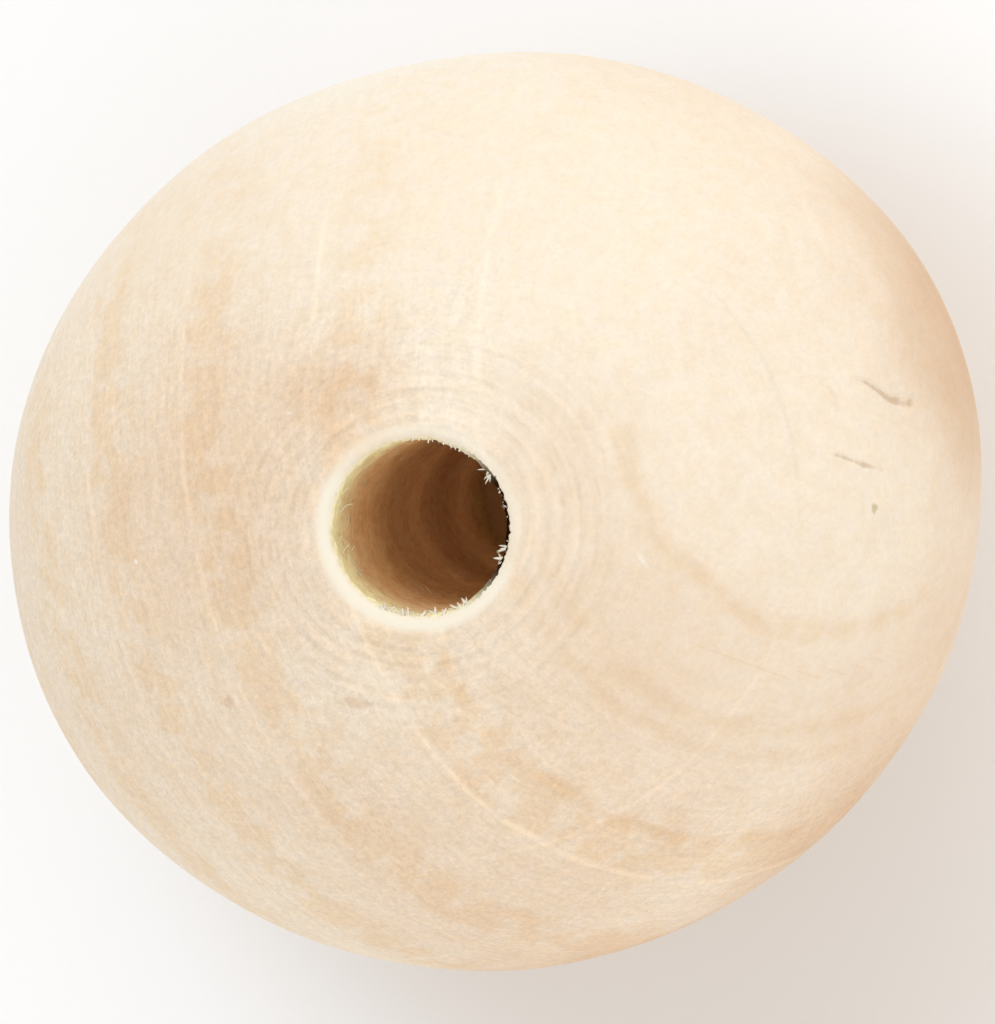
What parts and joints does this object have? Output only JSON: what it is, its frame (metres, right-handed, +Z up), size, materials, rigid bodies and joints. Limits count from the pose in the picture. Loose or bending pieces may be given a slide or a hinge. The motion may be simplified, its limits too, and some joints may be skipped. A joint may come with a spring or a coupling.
{
  "type": "wooden bead",
  "caption": "Round bead turned in pale wood, bored straight through, with a small flat and an eased edge at each mouth of the bore.",
  "frame": {"origin": "middle of the lower flat, on the axis of the bore", "axes": "+Z up along the bore, +X the longest way across the ball"},
  "size_m": [0.0258, 0.024, 0.0236],
  "materials": {
    "wood": "bare sanded wood, no varnish"
  },
  "bodies": {
    "root": {"bead": "wood"}
  },
  "joints": []
}
